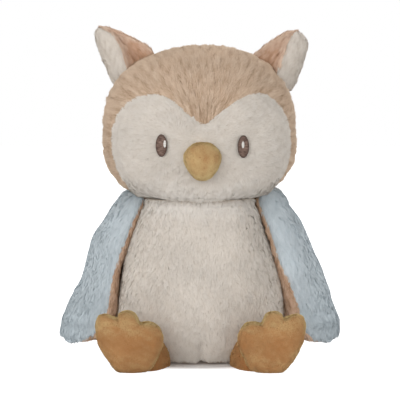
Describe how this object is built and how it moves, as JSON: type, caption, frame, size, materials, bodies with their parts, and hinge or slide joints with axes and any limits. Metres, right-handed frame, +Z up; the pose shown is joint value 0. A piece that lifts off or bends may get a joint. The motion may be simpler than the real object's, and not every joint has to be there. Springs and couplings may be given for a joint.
{
  "type": "plush owl",
  "caption": "Seated stuffed owl toy with a round masked head, stitched eyes, padded beak, folded ears, soft wings and short legs with toed feet.",
  "frame": {"origin": "middle of the overall box, on the floor that the owl sits on", "axes": "+Z up; the owl looks along -Y, and its own left side is at +X"},
  "size_m": [0.215, 0.1478, 0.2493],
  "materials": {
    "tan_plush": "long soft pile, tan",
    "cream_plush": "long soft pile, cream",
    "blue_plush": "long soft pile, pale blue",
    "mustard_velour": "short brushed pile, mustard",
    "brown_thread": "satin stitching, brown",
    "white_thread": "satin stitching, white",
    "fibre": "loose polyester fibre",
    "pouch_cloth": "plain woven cloth"
  },
  "bodies": {
    "trunk": {"belly_panel": "cream_plush", "back_panel": "tan_plush", "base_panel": "tan_plush", "body_stuffing": "fibre", "pellet_pouch": "pouch_cloth"},
    "head": {"face_panel": "cream_plush", "crown_panel": "tan_plush", "head_back_panel": "tan_plush", "head_stuffing": "fibre", "beak_cover": "mustard_velour", "beak_stuffing": "fibre", "eye_left": "brown_thread", "eye_right": "brown_thread", "eye_glint_left": "white_thread", "eye_glint_right": "white_thread"},
    "ear_left": {"ear_inner_left": "tan_plush", "ear_outer_left": "cream_plush", "ear_filling_left": "fibre"},
    "ear_right": {"ear_inner_right": "tan_plush", "ear_outer_right": "cream_plush", "ear_filling_right": "fibre"},
    "wing_left": {"wing_outer_left": "blue_plush", "wing_lining_left": "tan_plush", "wing_filling_left": "fibre"},
    "wing_right": {"wing_outer_right": "blue_plush", "wing_lining_right": "tan_plush", "wing_filling_right": "fibre"},
    "leg_left": {"leg_cover_left": "mustard_velour", "leg_stuffing_left": "fibre", "foot_sole_left": "mustard_velour", "foot_upper_left": "mustard_velour", "foot_stuffing_left": "fibre"},
    "leg_right": {"leg_cover_right": "mustard_velour", "leg_stuffing_right": "fibre", "foot_sole_right": "mustard_velour", "foot_upper_right": "mustard_velour", "foot_stuffing_right": "fibre"}
  },
  "joints": [
    {"name": "head_turn", "type": "hinge", "parent": "trunk", "child": "head", "pos_m": [0, 0.01789, 0.1215], "axis": [0, 0, 1], "range_deg": [-25, 25], "stiffness_Nm_per_rad": 0.3},
    {"name": "ear_left_fold", "type": "hinge", "parent": "head", "child": "ear_left", "pos_m": [0.05084, 0.02189, 0.22284], "axis": [0.766, 0, -0.6428], "range_deg": [-20, 20], "stiffness_Nm_per_rad": 0.05},
    {"name": "ear_right_fold", "type": "hinge", "parent": "head", "child": "ear_right", "pos_m": [-0.05084, 0.02189, 0.22284], "axis": [0.766, 0, 0.6428], "range_deg": [-20, 20], "stiffness_Nm_per_rad": 0.05},
    {"name": "wing_left_lift", "type": "hinge", "parent": "trunk", "child": "wing_left", "pos_m": [0.04616, 0.02489, 0.1085], "axis": [0, -1, 0], "range_deg": [0, 45]},
    {"name": "wing_right_lift", "type": "hinge", "parent": "trunk", "child": "wing_right", "pos_m": [-0.04616, 0.02489, 0.1085], "axis": [0, 1, 0], "range_deg": [0, 45]},
    {"name": "leg_left_swing", "type": "hinge", "parent": "trunk", "child": "leg_left", "pos_m": [0.038, -0.04539, 0.0145], "axis": [1, 0, 0], "range_deg": [0, 60]},
    {"name": "leg_right_swing", "type": "hinge", "parent": "trunk", "child": "leg_right", "pos_m": [-0.038, -0.04539, 0.0145], "axis": [1, 0, 0], "range_deg": [0, 60]}
  ]
}
